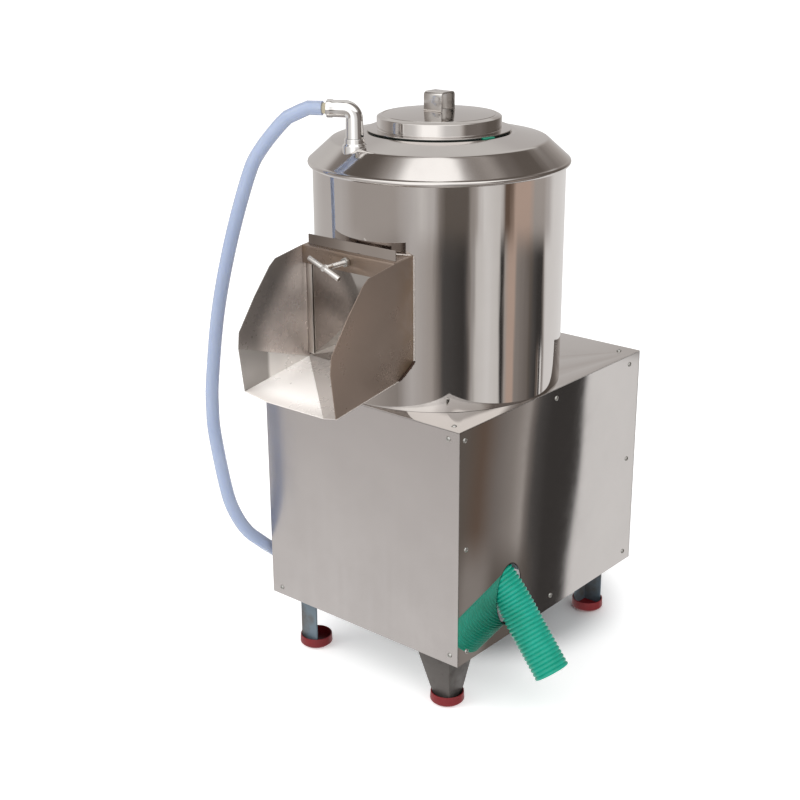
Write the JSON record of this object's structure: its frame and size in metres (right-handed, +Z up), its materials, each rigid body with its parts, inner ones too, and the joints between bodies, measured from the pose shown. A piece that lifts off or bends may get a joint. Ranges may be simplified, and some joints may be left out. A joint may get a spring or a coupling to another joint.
{
  "type": "electric potato peeler",
  "caption": "Commercial potato peeler: steel drum with a lift-off lid and wave disc on a belt-driven cabinet, gated chute, water hose and ribbed drain hose.",
  "frame": {"origin": "on the floor, under the middle of the machine's outline with its chute and drain hose, the loose water hose left out", "axes": "+Z up, -Y towards the front with the discharge chute, +X to the machine's right as seen from the front, where the drain hose leaves"},
  "size_m": [0.5764, 0.9531, 0.9425],
  "materials": {
    "brushed_steel": "brushed stainless sheet, 1.5 mm",
    "polished_steel": "mirror polished stainless steel",
    "painted_iron": "blue-grey painted angle iron and folded plate",
    "zinc_steel": "turned or plated steel",
    "cast_iron": "cast, machined where it fits",
    "motor_grey": "painted die-cast shell",
    "abrasive_grit": "coated with coarse carborundum grit",
    "red_rubber": "moulded red rubber",
    "black_rubber": "black rubber",
    "green_rubber": "green rubber sheet",
    "black_plastic": "black moulded nylon",
    "chrome": "chromed brass",
    "thread_tape": "brass nipple wrapped in white sealing tape",
    "blue_hose": "translucent light blue PVC",
    "green_hose": "ribbed green PVC"
  },
  "bodies": {
    "machine": {"abrasive_liner": "abrasive_grit", "bearing_bridge": "painted_iron", "bearing_housing": "cast_iron", "cable_gland": "black_plastic", "chute_body": "brushed_steel", "chute_hood": "brushed_steel", "clamp_nut": "zinc_steel", "corner_post_front_left": "painted_iron", "corner_post_front_right": "painted_iron", "corner_post_rear_left": "painted_iron", "corner_post_rear_right": "painted_iron", "drain_hose": "green_hose", "drain_spout": "polished_steel", "drive_belt": "black_rubber", "drum_collar": "polished_steel", "drum_floor": "brushed_steel", "drum_shell": "polished_steel", "frame_bottom_ring": "painted_iron", "frame_top_ring": "painted_iron", "front_panel": "brushed_steel", "gate_guide_left": "brushed_steel", "gate_guide_right": "brushed_steel", "hose_coil": "blue_hose", "hose_nipple": "thread_tape", "hose_tie": "black_plastic", "inlet_elbow": "chrome", "inlet_socket": "polished_steel", "left_panel": "brushed_steel", "leg_front_left": "painted_iron", "leg_front_right": "painted_iron", "leg_rear_left": "painted_iron", "leg_rear_right": "painted_iron", "lower_bearing": "zinc_steel", "motor_body": "motor_grey", "motor_crossbar_front": "painted_iron", "motor_crossbar_rear": "painted_iron", "motor_mount": "painted_iron", "motor_terminal_box": "motor_grey", "rear_panel": "brushed_steel", "right_panel": "polished_steel", "shaft_seal": "black_rubber", "shoe_front_left": "red_rubber", "shoe_front_right": "red_rubber", "shoe_rear_left": "red_rubber", "shoe_rear_right": "red_rubber", "top_plate": "polished_steel", "upper_bearing": "zinc_steel", "water_hose": "blue_hose"},
    "disc_rotor": {"abrasive_disc": "abrasive_grit", "disc_nut": "polished_steel", "disc_pulley": "cast_iron", "main_shaft": "zinc_steel"},
    "motor_rotor": {"motor_pulley": "cast_iron", "motor_shaft": "zinc_steel"},
    "lid": {"lid": "polished_steel", "lid_gasket": "green_rubber", "lid_handle": "polished_steel"},
    "gate": {"discharge_gate": "brushed_steel"},
    "gate_clamp": {"clamp_screw": "zinc_steel"}
  },
  "joints": [
    {"name": "disc_spin", "type": "hinge", "parent": "machine", "child": "disc_rotor", "pos_m": [-0.05208, 0.01787, 0.4], "axis": [0, 0, 1], "continuous": true},
    {"name": "motor_spin", "type": "hinge", "parent": "machine", "child": "motor_rotor", "pos_m": [-0.05208, 0.21787, 0.2], "axis": [0, 0, 1], "continuous": true},
    {"name": "lid_lift", "type": "slide", "parent": "machine", "child": "lid", "axis": [0, 0, 1], "range_m": [0, 0.12]},
    {"name": "gate_lift", "type": "slide", "parent": "machine", "child": "gate", "axis": [0, 0, 1], "range_m": [0, 0.13]},
    {"name": "clamp_turn", "type": "hinge", "parent": "machine", "child": "gate_clamp", "pos_m": [-0.05208, -0.22213, 0.7165], "axis": [0, -1, 0], "range_deg": [0, 720]}
  ],
  "couplings": [
    {"joint": "motor_spin", "follows": "disc_spin", "ratio": 3.7451}
  ]
}
